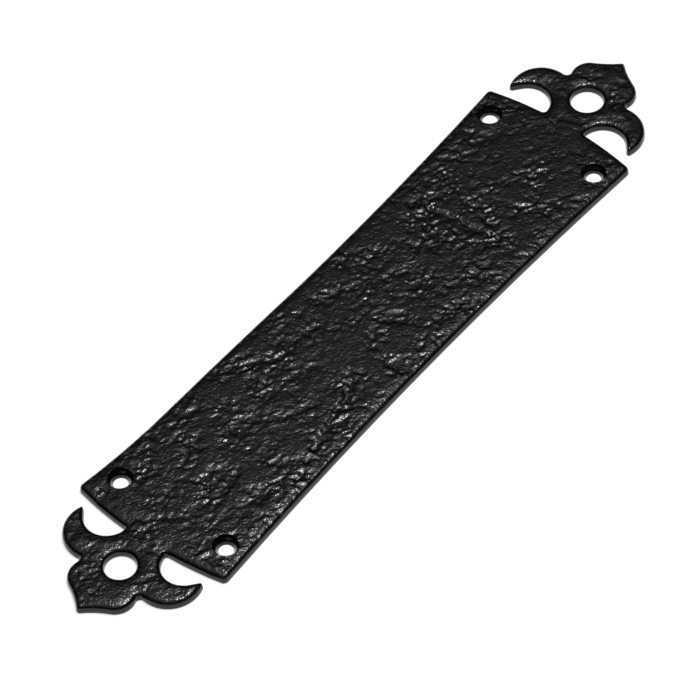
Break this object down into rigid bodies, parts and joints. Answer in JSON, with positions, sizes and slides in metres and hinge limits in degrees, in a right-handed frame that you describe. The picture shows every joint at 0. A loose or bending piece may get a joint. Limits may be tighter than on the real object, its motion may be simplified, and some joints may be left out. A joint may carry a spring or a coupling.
{
  "type": "door finger plate",
  "caption": "Flat cast finger plate for a door, with hollow long sides, a pierced leaf-and-petal finial at each end and countersunk screw holes.",
  "frame": {"origin": "centre of the rectangle of four screw holes, on the back face that lies against the door", "axes": "+Z out of the front face, +Y along the plate and up the door, +X across the plate"},
  "size_m": [0.0655, 0.3052, 0.0038],
  "materials": {
    "black_iron": "rough casting under satin black paint"
  },
  "bodies": {
    "root": {"finger_plate": "black_iron"}
  },
  "joints": []
}
